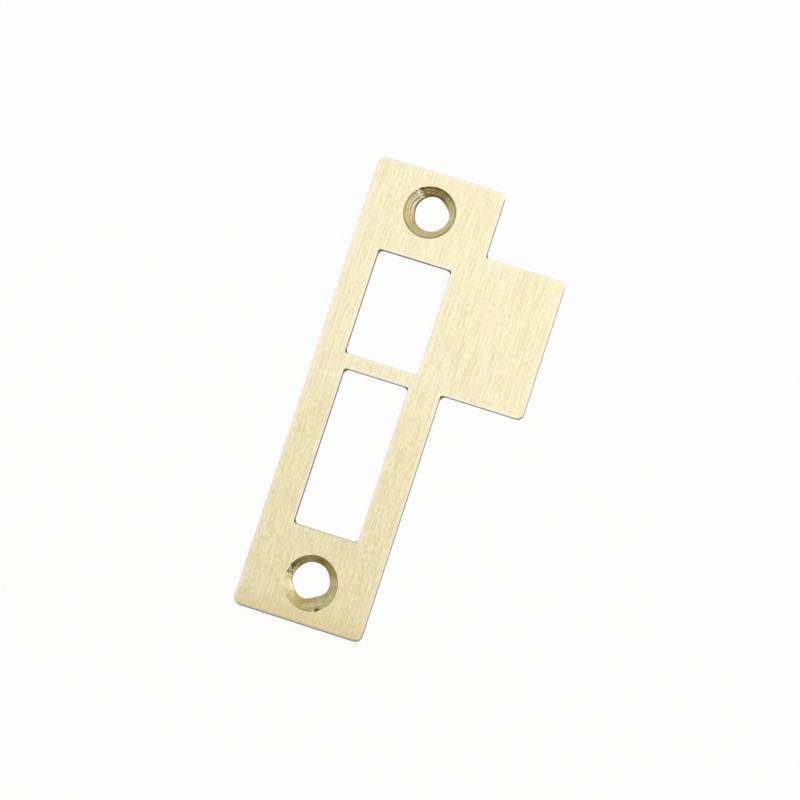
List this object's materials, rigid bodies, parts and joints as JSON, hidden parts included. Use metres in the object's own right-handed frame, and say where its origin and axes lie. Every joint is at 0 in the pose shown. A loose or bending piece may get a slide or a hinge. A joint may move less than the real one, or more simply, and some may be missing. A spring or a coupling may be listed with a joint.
{
  "type": "door strike plate",
  "caption": "Flat satin brass plate with a latch opening, a deadbolt opening, a flat side lip and countersunk screw holes, let into a door frame to receive a mortise lock.",
  "frame": {"origin": "midway between the two screw holes, on the back face", "axes": "+Y up the plate along its long side, +X towards the lip, +Z out of the front face"},
  "size_m": [0.0415, 0.0902, 0.0015],
  "materials": {
    "satin_brass": "satin, brushed along the plate's length"
  },
  "bodies": {
    "root": {"strike_plate": "satin_brass"}
  },
  "joints": []
}
